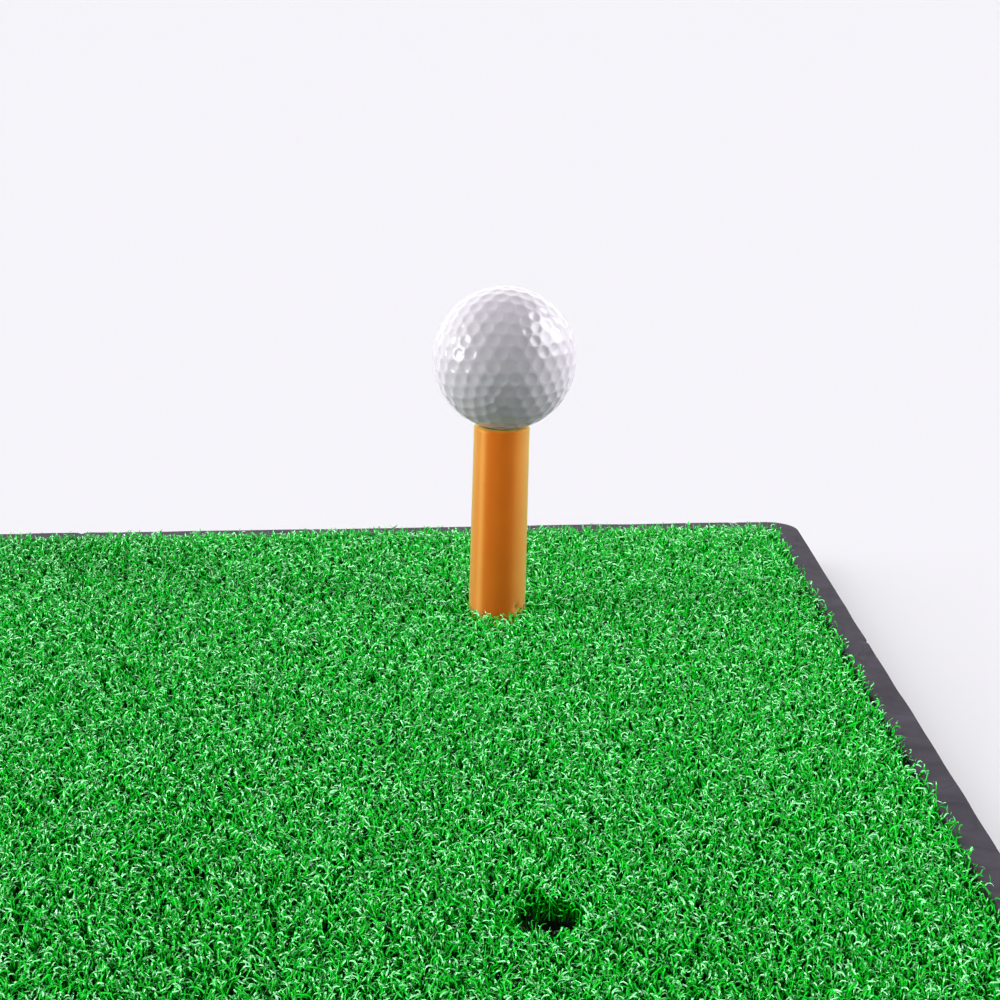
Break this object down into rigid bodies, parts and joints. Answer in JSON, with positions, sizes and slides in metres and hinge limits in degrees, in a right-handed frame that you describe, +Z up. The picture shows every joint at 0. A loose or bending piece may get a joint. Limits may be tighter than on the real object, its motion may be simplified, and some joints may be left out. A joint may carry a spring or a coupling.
{
  "type": "golf hitting mat",
  "caption": "Golf hitting mat: green tufted turf set in a dark rubber tray with rounded rim, punched tee holes, a moulded bending rubber tee and a dimpled ball on it.",
  "frame": {"origin": "middle of the mat's underside, on the floor", "axes": "+X along the long side towards the end with the tee holes, +Y from the front tee hole to the rear one, +Z up"},
  "size_m": [0.6, 0.4, 0.1138],
  "materials": {
    "tray_rubber": "matte moulded, faintly mottled",
    "adhesive": "dried glue film",
    "latex": "matte filled latex coat",
    "woven_cloth": "plain woven tape cloth",
    "turf_fibre": "curled monofilament pile, slight gloss",
    "tee_rubber": "satin, slightly waxy amber",
    "ball_core_rubber": "moulded solid core",
    "ball_cover": "glossy white lacquer over dimples"
  },
  "bodies": {
    "mat": {"rubber_base": "tray_rubber", "adhesive_film": "adhesive", "latex_backing": "latex", "woven_backing": "woven_cloth", "turf_pile": "turf_fibre"},
    "tee_foot": {"tee_foot": "tee_rubber"},
    "tee_shaft": {"tee_shaft": "tee_rubber"},
    "ball": {"ball_core": "ball_core_rubber", "ball_cover": "ball_cover"}
  },
  "joints": [
    {"name": "tee_spin", "type": "hinge", "parent": "mat", "child": "tee_foot", "pos_m": [0.192, 0.106, 0.0087], "axis": [0, 0, 1], "continuous": true},
    {"name": "tee_bend", "type": "hinge", "parent": "tee_foot", "child": "tee_shaft", "pos_m": [0.192, 0.106, 0.034], "axis": [0, 1, 0], "range_deg": [-70, 70], "stiffness_Nm_per_rad": 0.3},
    {"name": "ball_lift", "type": "slide", "parent": "tee_shaft", "child": "ball", "axis": [0.0401, 0, 0.9992], "range_m": [0, 0.12]}
  ]
}
